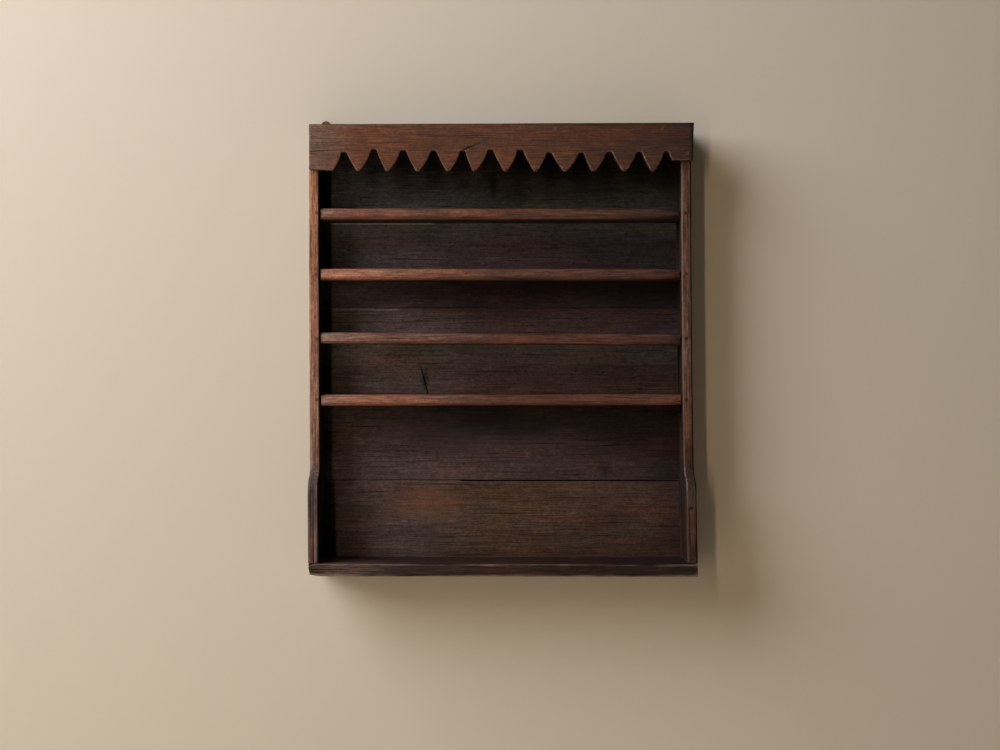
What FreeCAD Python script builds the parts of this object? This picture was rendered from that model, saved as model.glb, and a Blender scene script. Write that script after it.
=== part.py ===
"""A rustic wall shelf of old pine boards: two shaped sides, four shelves let into them, a toothed
frieze across the top, boards nailed across the back, and two iron plates that hang it on the wall.

Frame: X to the right, Y into the wall, Z up. The wall is the plane Y = 0, and the origin is the middle
of the back on that plane. Sizes are in millimetres.
"""
import FreeCAD, Part
import os
import re
import Sketcher

doc = FreeCAD.newDocument("wall_shelf")

# Driving dimensions
DRIVING = {
    # Carcass, over all, and the boards that make it
    "overall_width": 730,
    "carcass_height": 855,
    "side_thick": 20,
    "top_thick": 20,
    "bottom_thick": 24,
    "bottom_arris": 2.5,
    "back_thick": 14,
    # Sides: depth in front of the back boards, above and below the scooped step
    "upper_depth": 92,
    "lower_depth": 132,
    "foot_height": 135,
    "step_height": 52,
    "side_arris": 3.5,
    # Shelves, and the bays from the top down, which share out the clear height in these proportions
    "shelf_thick": 21.5,
    "shelf_setback": 3,
    "bay_1": 137,
    "bay_2": 95,
    "bay_3": 101.5,
    "bay_4": 95,
    "bay_5": 296.5,
    "nosing_round": 6,
    "underside_round": 4,
    # Stopped housings that take the shelves' tongues
    "housing_depth": 11,
    "housing_stop": 15,
    "housing_clearance": 0.2,
    # Back boards from the top down, which share out the height between their gaps in these proportions
    "back_width_1": 177.1,
    "back_width_2": 166.8,
    "back_width_3": 166.8,
    "back_width_4": 166.8,
    "back_width_5": 171.5,
    "back_gap": 1.5,
    # Frieze and its teeth; the first and last notch are measured from the two ends
    "frieze_height": 89.8,
    "frieze_thick": 18,
    "first_notch": 65.5,
    "last_notch": 50.5,
    "notch_depth": 37.3,
    "notch_top": 9.5,
    "tooth_flat": 3.6,
    "left_flank": 22,
    "right_flank": 12,
    "left_swell": 1.8,
    "right_swell": 3.2,
    "left_end_rise": 4.5,
    "left_foot_rise": 1.8,
    "end_cut": 20,
    # Hanging plates: an ear with an eye above the carcass, and a wide foot let into the back
    "plate_thick": 2,
    "plate_width": 40,
    "plate_drop": 20,
    "plate_shoulder": 6,
    "ear_radius": 10,
    "eye_rise": 12.3,
    "eye_bore": 8,
    "right_plate_drop": 4,
    "plate_clearance": 0.3,
    "plate_nail_spread": 27,
    # Nails with square shanks and flat heads
    "nail_shank": 2.8,
    "nail_head": 6,
    "nail_head_height": 1.4,
    "nail_point": 6,
    "nail_tip": 0.8,
    "nail_clearance": 0.1,
    "side_nail_inset": 6,
    "back_nail_inset": 28,
    "back_nail_length": 45,
    "back_row_pitch": 200,
    "plate_nail_length": 38,
    "top_nail_length": 50,
    "bottom_nail_length": 60,
    "frieze_nail_length": 50,
    "frieze_nail_inset": 60,
    "frieze_nail_drop": 57,
    "pin_length": 45,
    "pin_edge": 4,
}

# How far each notch and each tooth was cut to the right of an even spacing by the maker's eye, and how
# much higher or lower each notch stops
NOTCH_DRIFT = (0.5, 1.5, 1.5, 3, 2.5, -0.5, 0, -1.5, 4, 1.5, 2, -2)
NOTCH_RISE = (-1, 4, 2, 1.5, 1, 2.5, 2, -2.5, -3, -1.5, -1.5, -1)
TOOTH_DRIFT = (0, -1, 0.5, 2.5, -3.2, -0.3, 1, 1.2, -1.2, 1.7, 0)

sizes = doc.addObject("Spreadsheet::Sheet", "Sizes")
for row, (alias, millimetres) in enumerate(DRIVING.items(), start=1):
    sizes.set(f"A{row}", alias)
    sizes.set(f"B{row}", str(millimetres))
    sizes.setAlias(f"B{row}", alias)
doc.recompute()


def in_sheet(text):
    """An expression written with the sheet's names, as the document reads it."""
    return re.sub(r"[a-z]\w*", r"Sizes.\g<0>", text)


def bind(feature, name, text):
    """Ties one size of a feature to the sheet."""
    feature.setExpression(name, in_sheet(text))


def number(text):
    """What an expression comes to, in millimetres."""
    return float(sizes.evalExpression(in_sheet(text)))


# Levels, as heights above the underside of the carcass
FLOOR = "-carcass_height / 2"
SIDE_HEIGHT = "carcass_height - bottom_thick - top_thick"
TOP_ROW = "carcass_height - top_thick / 2"
BOTTOM_ROW = "bottom_thick / 2"
CLEAR_HEIGHT = "(carcass_height - bottom_thick - top_thick - 4 * shelf_thick)"
ALL_BAYS = "(bay_1 + bay_2 + bay_3 + bay_4 + bay_5)"
SHELF_LEVELS = []
level = "carcass_height - top_thick"
for bay in ("bay_1", "bay_2", "bay_3", "bay_4"):
    level += f" - {CLEAR_HEIGHT} * {bay} / {ALL_BAYS} - shelf_thick"
    SHELF_LEVELS.append(level)
ALL_BACKS = "(back_width_1 + back_width_2 + back_width_3 + back_width_4 + back_width_5)"
BACK_WIDTHS = [f"(carcass_height - 4 * back_gap) * back_width_{i} / {ALL_BACKS}" for i in range(1, 6)]
BACK_LEVELS = ["0"]
for width in reversed(BACK_WIDTHS[1:]):
    BACK_LEVELS.insert(0, f"{BACK_LEVELS[0]} + {width} + back_gap")

# Lines across the width
HALF_WIDTH = "overall_width / 2"
HALF_INNER = "(overall_width / 2 - side_thick)"
NAIL_LINE = "(overall_width / 2 - side_nail_inset)"
PIN_INSET = "(housing_depth - pin_edge)"
PIN_LINE = f"({HALF_INNER} + {PIN_INSET})"
PLATE_LINE = "(overall_width / 2 - plate_width / 2)"
ROW_LINES = ("-back_row_pitch", "0", "back_row_pitch")
FRIEZE_LINES = [f"(overall_width / 2 - frieze_nail_inset) * {share} / 3" for share in (-3, -1, 1, 3)]

# Depths of the end nails along the sides' ends, as shares of the board's depth
END_SHARES = (0.45, 0.8)

# Each hanging plate's line and how much lower than the left one it sits
PLATES = {"left": (f"-{PLATE_LINE}", "0"), "right": (PLATE_LINE, "right_plate_drop")}

# How deep each kind of nail goes into the second board
BACK_NAIL_HOLD = "back_nail_length - back_thick + nail_clearance"
PLATE_NAIL_HOLD = "plate_nail_length - back_thick + nail_clearance"
FRIEZE_NAIL_HOLD = "frieze_nail_length - frieze_thick + nail_clearance"
TOP_NAIL_HOLD = "top_nail_length - top_thick + nail_clearance"
BOTTOM_NAIL_HOLD = "bottom_nail_length - bottom_thick + nail_clearance"
PIN_HOLD = "pin_length - housing_stop"

# Each back board is nailed to the sides at two heights, clear of the plates and of the bottom board
BACK_NAIL_LEVELS = []
for i, (base, width) in enumerate(zip(BACK_LEVELS, BACK_WIDTHS)):
    lower = f"{base} + back_nail_inset"
    upper = f"{base} + {width} - back_nail_inset"
    if i == 0:
        upper += " - plate_drop - back_nail_inset"
    if i == len(BACK_LEVELS) - 1:
        lower += " + bottom_thick"
    BACK_NAIL_LEVELS.append((lower, upper))

nodes = []


def new_body(label, x, y, height):
    """A board or plate whose own origin stands at x, y and a height above the carcass's underside."""
    body = doc.addObject("PartDesign::Body", label)
    body.Label = label
    for axis, text in (("x", x), ("y", y), ("z", f"{FLOOR} + {height}")):
        bind(body, f"Placement.Base.{axis}", text)
    nodes.append(body)
    return body


def new_sketch(body, name, plane, offset="0"):
    """A sketch on one of the body's own planes, moved along the plane's normal."""
    support = next(item for item in body.Origin.OriginFeatures if item.Role == plane)
    sketch = body.newObject("Sketcher::SketchObject", f"{body.Label}_{name}")
    sketch.AttachmentSupport = [(support, "")]
    sketch.MapMode = "FlatFace"
    bind(sketch, "AttachmentOffset.Base.z", offset)
    return sketch


def point(corner):
    """A corner given as a pair of expressions, as a point of its sketch."""
    return FreeCAD.Vector(number(corner[0]), number(corner[1]), 0)


def hold(sketch, edge, end, corner):
    """Holds one end of an edge at a corner, measured from the sketch's origin."""
    for kind, text in zip(("DistanceX", "DistanceY"), corner):
        index = sketch.addConstraint(Sketcher.Constraint(kind, -1, 1, edge, end, number(text)))
        bind(sketch, f"Constraints[{index}]", text)


def add_outline(sketch, corners):
    """A closed outline with straight edges through the corners."""
    first = sketch.GeometryCount
    count = len(corners)
    points = [point(corner) for corner in corners]
    edges = [Part.LineSegment(start, end) for start, end in zip(points, points[1:] + points[:1])]
    sketch.addGeometry(edges, False)
    joins = [Sketcher.Constraint("Coincident", first + i, 2, first + (i + 1) % count, 1)
             for i in range(count)]
    sketch.addConstraint(joins)
    across = [Sketcher.Constraint("DistanceX", -1, 1, first + i, 1, points[i].x) for i in range(count)]
    upward = [Sketcher.Constraint("DistanceY", -1, 1, first + i, 1, points[i].y) for i in range(count)]
    held = sketch.ConstraintCount
    sketch.addConstraint(across + upward)
    for i, (x, y) in enumerate(corners):
        bind(sketch, f"Constraints[{held + i}]", x)
        bind(sketch, f"Constraints[{held + count + i}]", y)


def box_corners(left, right, low, high):
    """The corners of an upright rectangle."""
    return [(left, low), (right, low), (right, high), (left, high)]


def pad(body, sketch, length):
    """Thickens an outline along the sketch's normal."""
    feature = body.newObject("PartDesign::Pad", f"{body.Label}_board")
    feature.Profile = sketch
    bind(feature, "Length", length)
    doc.recompute()


def pocket(body, sketch, depth, along_normal=False):
    """Cuts an outline into the body, against the sketch's normal or along it."""
    before = body.Shape.Volume
    feature = body.newObject("PartDesign::Pocket", f"{sketch.Name}_cut")
    feature.Profile = sketch
    feature.Reversed = along_normal
    bind(feature, "Length", depth)
    doc.recompute()
    if body.Shape.Volume >= before:
        raise RuntimeError(f"{feature.Name} cuts nothing")


def same(a, b):
    """Whether two lengths agree within a thousandth of a millimetre."""
    return abs(a - b) < 0.001


def round_edges(body, name, radius, chosen):
    """Rounds the edges that the test chooses by their two ends."""
    base = body.Tip
    edges = [f"Edge{i}" for i, edge in enumerate(base.Shape.Edges, start=1)
             if chosen(edge.Vertexes[0].Point, edge.Vertexes[-1].Point)]
    feature = body.newObject("PartDesign::Fillet", f"{body.Label}_{name}")
    feature.Base = (base, edges)
    bind(feature, "Radius", radius)
    doc.recompute()


def nail_holes(body, name, plane, offset, sites, depth, along_normal=False, heads=False):
    """Square nail holes at sites on one face; heads adds the recesses that take the flat heads."""
    cuts = [("shanks", "nail_shank", depth)]
    if heads:
        cuts.append(("heads", "nail_head", "nail_head_height"))
    for part, size, cut_depth in cuts:
        sketch = new_sketch(body, f"{name}_{part}", plane, offset)
        reach = f"({size} / 2 + nail_clearance)"
        for x, y in sites:
            corners = box_corners(f"{x} - {reach}", f"{x} + {reach}", f"{y} - {reach}", f"{y} + {reach}")
            add_outline(sketch, corners)
        pocket(body, sketch, cut_depth, along_normal)


# Sides: boards on end, deeper at the foot, with a shaped step and a worn inner front arris
def side_profile(body):
    """The board's outline seen from the side: straight edges joined at the step by two equal arcs."""
    sketch = new_sketch(body, "profile", "YZ_Plane")
    low_back, top_back = ("0", "0"), ("0", SIDE_HEIGHT)
    low_front, top_front = ("-lower_depth", "0"), ("-upper_depth", SIDE_HEIGHT)
    step_foot = ("-lower_depth", "foot_height")
    step_head = ("-upper_depth", "foot_height + step_height")
    runs = [(low_back, low_front), (low_front, step_foot), (step_head, top_front)]
    runs += [(top_front, top_back), (top_back, low_back)]
    for start, end in runs:
        sketch.addGeometry(Part.LineSegment(point(start), point(end)), False)
    base, foot, upper, head, back = range(len(runs))
    for edge, following in ((base, foot), (upper, head), (head, back), (back, base)):
        sketch.addConstraint(Sketcher.Constraint("Coincident", edge, 2, following, 1))
    for edge, (start, _) in enumerate(runs):
        hold(sketch, edge, 1, start)
    hold(sketch, foot, 2, step_foot)

    # The lower arc swells and the upper one is hollow; they meet halfway up the step
    foot_point, head_point = point(step_foot), point(step_head)
    middle = (foot_point + head_point) * 0.5
    half = middle - foot_point
    radius = FreeCAD.Vector((half.x ** 2 + half.y ** 2) / (2 * half.x), 0, 0)
    arcs = []
    for end, centre in ((foot_point, foot_point + radius), (head_point, head_point - radius)):
        circle = Part.Circle(centre, FreeCAD.Vector(0, 0, 1), radius.x)
        arc = Part.ArcOfCircle(circle, circle.parameter(middle), circle.parameter(end))
        arcs.append(sketch.addGeometry(arc, False))
    swell, hollow = arcs
    sketch.addConstraint(Sketcher.Constraint("Tangent", foot, 2, swell, 2))
    sketch.addConstraint(Sketcher.Constraint("Tangent", swell, 1, hollow, 1))
    sketch.addConstraint(Sketcher.Constraint("Tangent", hollow, 2, upper, 1))
    sketch.addConstraint(Sketcher.Constraint("Equal", swell, hollow))
    return sketch


def make_side(label, inner_face, nail_line, pin_line, right_hand):
    """One side; the lines are measured across its thickness, from its left face."""
    left_face = HALF_INNER if right_hand else f"-{HALF_WIDTH}"
    body = new_body(label, left_face, "-back_thick", "bottom_thick")
    pad(body, side_profile(body), "side_thick")
    inner, middle = number(inner_face), -number("upper_depth / 2")
    round_edges(body, "arris", "side_arris",
                lambda a, b: same(a.x, inner) and same(b.x, inner) and max(a.y, b.y) < middle)

    housings = new_sketch(body, "housings", "YZ_Plane", inner_face)
    for shelf_level in SHELF_LEVELS:
        low = f"{shelf_level} - bottom_thick"
        high = f"{low} + shelf_thick + housing_clearance"
        add_outline(housings, box_corners("housing_stop - upper_depth", "0", low, high))
    pocket(body, housings, "housing_depth", right_hand)

    back_sites = [(nail_line, f"{height} - bottom_thick") for pair in BACK_NAIL_LEVELS for height in pair]
    nail_holes(body, "back", "XZ_Plane", "0", back_sites, BACK_NAIL_HOLD, along_normal=True)
    top_sites = [(nail_line, f"-upper_depth * {share}") for share in END_SHARES]
    nail_holes(body, "top", "XY_Plane", SIDE_HEIGHT, top_sites, TOP_NAIL_HOLD)
    foot_sites = [(nail_line, f"-lower_depth * {share}") for share in END_SHARES]
    nail_holes(body, "foot", "XY_Plane", "0", foot_sites, BOTTOM_NAIL_HOLD, along_normal=True)
    frieze_site = (pin_line, "carcass_height - frieze_nail_drop - bottom_thick")
    nail_holes(body, "frieze", "XZ_Plane", "upper_depth", [frieze_site], FRIEZE_NAIL_HOLD)
    pin_sites = [(pin_line, f"{height} + shelf_thick / 2 - bottom_thick") for height in SHELF_LEVELS]
    nail_holes(body, "pins", "XZ_Plane", "upper_depth", pin_sites, "housing_stop", heads=True)


make_side("left_side", "side_thick", "side_nail_inset", f"side_thick - {PIN_INSET}", False)
make_side("right_side", "0", "side_thick - side_nail_inset", PIN_INSET, True)


def along_front(front, level):
    """A test for the edge that runs along a board's front at a level."""
    return lambda a, b: same(a.y, front) and same(b.y, front) and same(a.z, level) and same(b.z, level)


# Top and bottom boards: they run over the ends of the sides, and nails through them hold the sides
top = new_body("top_board", "0", "-back_thick", "carcass_height - top_thick")
outline = new_sketch(top, "outline", "XY_Plane")
add_outline(outline, box_corners(f"-{HALF_WIDTH}", HALF_WIDTH, "-upper_depth", "0"))
pad(top, outline, "top_thick")
end_sites = [(f"{sign}{NAIL_LINE}", f"-upper_depth * {share}") for sign in ("-", "") for share in END_SHARES]
nail_holes(top, "ends", "XY_Plane", "top_thick", end_sites, "top_thick", heads=True)
row_sites = [(line, "top_thick / 2") for line in ROW_LINES]
nail_holes(top, "back", "XZ_Plane", "0", row_sites, BACK_NAIL_HOLD, along_normal=True)
plate_sites = [(f"{line} {sign} plate_nail_spread / 2", f"top_thick / 2 - {drop}")
               for line, drop in PLATES.values() for sign in "-+"]
nail_holes(top, "plates", "XZ_Plane", "0", plate_sites, PLATE_NAIL_HOLD, along_normal=True)
frieze_sites = [(line, "top_thick / 2") for line in FRIEZE_LINES]
nail_holes(top, "frieze", "XZ_Plane", "upper_depth", frieze_sites, FRIEZE_NAIL_HOLD)

bottom = new_body("bottom_board", "0", "-back_thick", "0")
outline = new_sketch(bottom, "outline", "XY_Plane")
add_outline(outline, box_corners(f"-{HALF_WIDTH}", HALF_WIDTH, "-lower_depth", "0"))
pad(bottom, outline, "bottom_thick")
round_edges(bottom, "arris", "bottom_arris", along_front(-number("lower_depth"), number("bottom_thick")))
end_sites = [(f"{sign}{NAIL_LINE}", f"-lower_depth * {share}") for sign in ("-", "") for share in END_SHARES]
nail_holes(bottom, "ends", "XY_Plane", "0", end_sites, "bottom_thick", along_normal=True, heads=True)
row_sites = [(line, "bottom_thick / 2") for line in ROW_LINES]
nail_holes(bottom, "back", "XZ_Plane", "0", row_sites, BACK_NAIL_HOLD, along_normal=True)


# Shelves: each has a tongue at both ends that slides into the sides' housings from behind, and a
# rounded front edge; a nail through the side's front edge pins each tongue
def make_shelf(label, shelf_level):
    body = new_body(label, "0", "-back_thick", shelf_level)
    tongue = f"({HALF_INNER} + housing_depth - housing_clearance)"
    tongue_front = "housing_stop + housing_clearance - upper_depth"
    shelf_front = "shelf_setback - upper_depth"
    outline = new_sketch(body, "outline", "XY_Plane")
    add_outline(outline, [
        (f"-{tongue}", "0"), (f"-{tongue}", tongue_front),
        (f"-{HALF_INNER}", tongue_front), (f"-{HALF_INNER}", shelf_front),
        (HALF_INNER, shelf_front), (HALF_INNER, tongue_front),
        (tongue, tongue_front), (tongue, "0"),
    ])
    pad(body, outline, "shelf_thick")
    front = number(shelf_front)
    round_edges(body, "nosing", "nosing_round", along_front(front, number("shelf_thick")))
    round_edges(body, "underside", "underside_round", along_front(front, 0))
    pin_sites = [(f"{sign}{PIN_LINE}", "shelf_thick / 2") for sign in ("-", "")]
    nail_holes(body, "pins", "XZ_Plane", f"-({tongue_front})", pin_sites, PIN_HOLD)


for i, shelf_level in enumerate(SHELF_LEVELS, start=1):
    make_shelf(f"shelf_{i}", shelf_level)


# Frieze: its lower edge is a row of hand-cut teeth with swelling flanks. Its left end is cut at a
# slant, and its right end is cut off short
def tooth_line():
    """The corners of the lower edge from left to right, with the swell of the edge that follows each."""
    pitch = f"(overall_width - first_notch - last_notch) / {len(NOTCH_DRIFT) - 1}"
    start = f"-{HALF_WIDTH} + first_notch"
    corners = [(f"-{HALF_WIDTH}", "left_end_rise", None)]
    last = len(NOTCH_DRIFT) - 1
    for i, (drift, rise) in enumerate(zip(NOTCH_DRIFT, NOTCH_RISE)):
        centre = f"{start} + {pitch} * {i} + {drift}"
        left_foot = (f"{centre} - left_flank", "left_foot_rise", "right_swell")
        right_foot = (f"{centre} + right_flank", "end_cut", None)
        if i > 0:
            tooth = f"{start} + {pitch} * {i - 0.5} + {TOOTH_DRIFT[i - 1]}"
            left_foot = (f"{tooth} + tooth_flat / 2", "0", "right_swell")
        if i < last:
            tooth = f"{start} + {pitch} * {i + 0.5} + {TOOTH_DRIFT[i]}"
            right_foot = (f"{tooth} - tooth_flat / 2", "0", None)
        corners += [left_foot, (f"{centre} - notch_top / 2", f"notch_depth + {rise}", None)]
        corners += [(f"{centre} + notch_top / 2", f"notch_depth + {rise}", "left_swell"), right_foot]
    corners.append((HALF_WIDTH, "end_cut", None))
    return corners


def swelling_edge(sketch, start, end, swell):
    """An arc between two corners that stands out from the straight line by the swell."""
    a, b = point(start), point(end)
    rise = number(swell)
    radius = ((b - a).Length ** 2 / 4 + rise ** 2) / (2 * rise)
    inward = FreeCAD.Vector(a.y - b.y, b.x - a.x, 0).normalize()
    circle = Part.Circle((a + b) * 0.5 + inward * (radius - rise), FreeCAD.Vector(0, 0, 1), radius)
    edge = sketch.addGeometry(Part.ArcOfCircle(circle, circle.parameter(a), circle.parameter(b)), False)
    chord = f"((({end[0]}) - ({start[0]})) ^ 2 + (({end[1]}) - ({start[1]})) ^ 2)"
    index = sketch.addConstraint(Sketcher.Constraint("Radius", edge, radius))
    bind(sketch, f"Constraints[{index}]", f"({chord} / 4 + {swell} ^ 2) / (2 * {swell})")


frieze = new_body("frieze", "0", "-back_thick - upper_depth", "carcass_height - frieze_height")
outline = new_sketch(frieze, "outline", "XZ_Plane")
corners = tooth_line() + [(HALF_WIDTH, "frieze_height", None), (f"-{HALF_WIDTH}", "frieze_height", None)]
for start, end in zip(corners, corners[1:] + corners[:1]):
    if start[2]:
        swelling_edge(outline, start[:2], end[:2], start[2])
    else:
        outline.addGeometry(Part.LineSegment(point(start), point(end)), False)
for i, corner in enumerate(corners):
    outline.addConstraint(Sketcher.Constraint("Coincident", i, 2, (i + 1) % len(corners), 1))
    hold(outline, i, 1, corner[:2])
pad(frieze, outline, "frieze_thick")


def across_thickness(levels):
    """A test for the edges that cross the frieze's thickness at the levels, away from its two ends."""
    end = number(HALF_WIDTH)
    return lambda a, b: (same(a.x, b.x) and same(a.z, b.z) and not same(abs(a.x), end)
                         and any(same(a.z, level) for level in levels))


round_edges(frieze, "tips", "tooth_flat * 0.55", across_thickness([0]))
notch_levels = [number(f"notch_depth + {rise}") for rise in NOTCH_RISE]
round_edges(frieze, "notches", "notch_top * 0.35", across_thickness(notch_levels))
frieze_sites = [(line, "frieze_height - top_thick / 2") for line in FRIEZE_LINES]
frieze_sites += [(f"{sign}{PIN_LINE}", "frieze_height - frieze_nail_drop") for sign in ("-", "")]
nail_holes(frieze, "nails", "XZ_Plane", "frieze_thick", frieze_sites, "frieze_thick", heads=True)


# Back boards: laid across the back edges of the carcass with a gap at each seam
def make_back_board(label, base, width, levels):
    body = new_body(label, "0", "0", base)
    outline = new_sketch(body, "outline", "XZ_Plane")
    add_outline(outline, box_corners(f"-{HALF_WIDTH}", HALF_WIDTH, "0", width))
    pad(body, outline, "back_thick")
    sites = [(f"{sign}{NAIL_LINE}", f"{height} - ({base})") for sign in ("-", "") for height in levels]
    return body, sites


for i, (base, width) in enumerate(zip(BACK_LEVELS, BACK_WIDTHS), start=1):
    body, sites = make_back_board(f"back_board_{i}", base, width, BACK_NAIL_LEVELS[i - 1])
    if i == 1:
        sites += [(line, f"{TOP_ROW} - ({base})") for line in ROW_LINES]
    if i == len(BACK_LEVELS):
        sites += [(line, BOTTOM_ROW) for line in ROW_LINES]
    nail_holes(body, "nails", "XZ_Plane", "0", sites, "back_thick", along_normal=True, heads=True)

# The uppermost back board has a recess for each hanging plate, open at its upper edge
upper_back = next(node for node in nodes if node.Label == "back_board_1")
recesses = new_sketch(upper_back, "recesses", "XZ_Plane")
for line, drop in PLATES.values():
    edge = f"{BACK_WIDTHS[0]} - {drop}"
    half_foot = "(plate_width / 2 + plate_clearance)"
    half_ear = "(ear_radius + plate_clearance)"
    add_outline(recesses, [
        (f"{line} - {half_foot}", f"{edge} - plate_drop - plate_clearance"),
        (f"{line} + {half_foot}", f"{edge} - plate_drop - plate_clearance"),
        (f"{line} + {half_foot}", f"{edge} - plate_shoulder + plate_clearance"),
        (f"{line} + {half_ear}", f"{edge} + plate_clearance"),
        (f"{line} + {half_ear}", f"{edge} + eye_rise"),
        (f"{line} - {half_ear}", f"{edge} + eye_rise"),
        (f"{line} - {half_ear}", f"{edge} + plate_clearance"),
        (f"{line} - {half_foot}", f"{edge} - plate_shoulder + plate_clearance"),
    ])
pocket(upper_back, recesses, "plate_thick", along_normal=True)
plate_sites = [(f"{line} {sign} plate_nail_spread / 2", f"{BACK_WIDTHS[0]} - top_thick / 2 - {drop}")
               for line, drop in PLATES.values() for sign in "-+"]
nail_holes(upper_back, "plates", "XZ_Plane", "0", plate_sites, "back_thick", along_normal=True)


# Hanging plates: flat iron, the eye at the plate's own origin
def make_plate(label, line, drop):
    body = new_body(label, line, "0", f"carcass_height + eye_rise - {drop}")
    outline = new_sketch(body, "outline", "XZ_Plane")
    corners = [
        ("-ear_radius", "0"), ("-ear_radius", "-eye_rise"),
        ("-plate_width / 2", "-eye_rise - plate_shoulder"), ("-plate_width / 2", "-eye_rise - plate_drop"),
        ("plate_width / 2", "-eye_rise - plate_drop"), ("plate_width / 2", "-eye_rise - plate_shoulder"),
        ("ear_radius", "-eye_rise"), ("ear_radius", "0"),
    ]
    for i, (start, end) in enumerate(zip(corners, corners[1:])):
        outline.addGeometry(Part.LineSegment(point(start), point(end)), False)
        hold(outline, i, 1, start)
        if i > 0:
            outline.addConstraint(Sketcher.Constraint("Coincident", i - 1, 2, i, 1))
    last = len(corners) - 2
    hold(outline, last, 2, corners[-1])
    crown = FreeCAD.Vector(0, number("ear_radius"), 0)
    ear = outline.addGeometry(Part.Arc(point(corners[-1]), crown, point(corners[0])), False)
    outline.addConstraint(Sketcher.Constraint("Tangent", last, 2, ear, 1))
    outline.addConstraint(Sketcher.Constraint("Coincident", ear, 2, 0, 1))
    pad(body, outline, "plate_thick")

    eye = new_sketch(body, "eye", "XZ_Plane")
    up = FreeCAD.Vector(0, 0, 1)
    circle = eye.addGeometry(Part.Circle(FreeCAD.Vector(), up, number("eye_bore / 2")), False)
    eye.addConstraint(Sketcher.Constraint("Coincident", circle, 3, -1, 1))
    index = eye.addConstraint(Sketcher.Constraint("Diameter", circle, number("eye_bore")))
    bind(eye, f"Constraints[{index}]", "eye_bore")
    pocket(body, eye, "plate_thick", along_normal=True)
    nail_sites = [(f"{sign}plate_nail_spread / 2", "-eye_rise - top_thick / 2") for sign in ("-", "")]
    nail_holes(body, "nails", "XZ_Plane", "0", nail_sites, "plate_thick", along_normal=True, heads=True)


for hand, (line, drop) in PLATES.items():
    make_plate(f"hanger_{hand}", line, drop)


# Nails: square in section, drawn to a point, with a flat head that lies flush
def nail(length):
    """One nail, its head's outer face at the origin and its point along +Z."""
    def block(size, start, end):
        return Part.makeBox(size, size, end - start, FreeCAD.Vector(-size / 2, -size / 2, start))

    def section(size, height):
        reach = size / 2
        ring = [(-reach, -reach), (reach, -reach), (reach, reach), (-reach, reach), (-reach, -reach)]
        return Part.makePolygon([FreeCAD.Vector(x, y, height) for x, y in ring])

    shank, head_height = number("nail_shank"), number("nail_head_height")
    shoulder = length - number("nail_point")
    head = block(number("nail_head"), 0, head_height)
    body = block(shank, head_height, shoulder)
    tip = Part.makeLoft([section(shank, shoulder), section(number("nail_tip"), length)], True, True)
    return head.fuse([body, tip]).removeSplitter()


def make_nails(label, length, sites, direction):
    """A group of nails driven the same way from the given sites."""
    turn = FreeCAD.Rotation(FreeCAD.Vector(0, 0, 1), direction)
    driven = []
    for site in sites:
        one = nail(number(length))
        one.Placement = FreeCAD.Placement(FreeCAD.Vector(*(number(text) for text in site)), turn)
        driven.append(one)
    group = doc.addObject("Part::Feature", label)
    group.Label = label
    group.Shape = Part.makeCompound(driven)
    group.Placement = FreeCAD.Placement(FreeCAD.Vector(0, 0, number(FLOOR)), FreeCAD.Rotation())
    nodes.append(group)


TO_WALL = FreeCAD.Vector(0, 1, 0)
TO_FRONT = FreeCAD.Vector(0, -1, 0)
UPWARD = FreeCAD.Vector(0, 0, 1)
DOWNWARD = FreeCAD.Vector(0, 0, -1)

side_sites = [(f"{sign}{NAIL_LINE}", "0", height)
              for sign in ("-", "") for pair in BACK_NAIL_LEVELS for height in pair]
row_sites = [(line, "0", height) for line in ROW_LINES for height in (TOP_ROW, BOTTOM_ROW)]
make_nails("back_nails", "back_nail_length", side_sites + row_sites, TO_FRONT)

plate_sites = [(f"{line} {sign} plate_nail_spread / 2", "0", f"{TOP_ROW} - {drop}")
               for line, drop in PLATES.values() for sign in "-+"]
make_nails("hanger_nails", "plate_nail_length", plate_sites, TO_FRONT)

FRIEZE_FACE = "-back_thick - upper_depth - frieze_thick"
frieze_sites = [(line, FRIEZE_FACE, TOP_ROW) for line in FRIEZE_LINES]
frieze_sites += [(f"{sign}{PIN_LINE}", FRIEZE_FACE, "carcass_height - frieze_nail_drop")
                 for sign in ("-", "")]
make_nails("frieze_nails", "frieze_nail_length", frieze_sites, TO_WALL)

for hand, sign in (("left", "-"), ("right", "")):
    pin_sites = [(f"{sign}{PIN_LINE}", "-back_thick - upper_depth", f"{height} + shelf_thick / 2")
                 for height in SHELF_LEVELS]
    make_nails(f"shelf_pins_{hand}", "pin_length", pin_sites, TO_WALL)

top_sites = [(f"{sign}{NAIL_LINE}", f"-back_thick - upper_depth * {share}", "carcass_height")
             for sign in ("-", "") for share in END_SHARES]
make_nails("top_nails", "top_nail_length", top_sites, DOWNWARD)
foot_sites = [(f"{sign}{NAIL_LINE}", f"-back_thick - lower_depth * {share}", "0")
              for sign in ("-", "") for share in END_SHARES]
make_nails("bottom_nails", "bottom_nail_length", foot_sites, UPWARD)


# Every feature must have built, and every piece must be whole, before anything is written
doc.recompute()
for item in doc.Objects:
    if "Invalid" in item.State or "Error" in item.State:
        raise RuntimeError(f"{item.Name} did not build: {item.State}")
for node in nodes:
    if node.Shape.isNull() or not node.Shape.isValid():
        raise RuntimeError(f"{node.Label} is not a whole shape")

os.makedirs("parts", exist_ok=True)
for node in nodes:
    node.Shape.exportStep(f"parts/{node.Label}.step")
    print(f"{node.Label}: {len(node.Shape.Solids)} solids, {node.Shape.Volume / 1000:.1f} cm3")
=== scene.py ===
"""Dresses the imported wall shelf: hand-worn boards of old pine and forged iron, built round the frame.

Blender works in metres; sizes here are written in millimetres and turned by MM.
"""
import math

import bmesh
import bpy
from mathutils import Matrix, Vector, kdtree, noise


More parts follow.
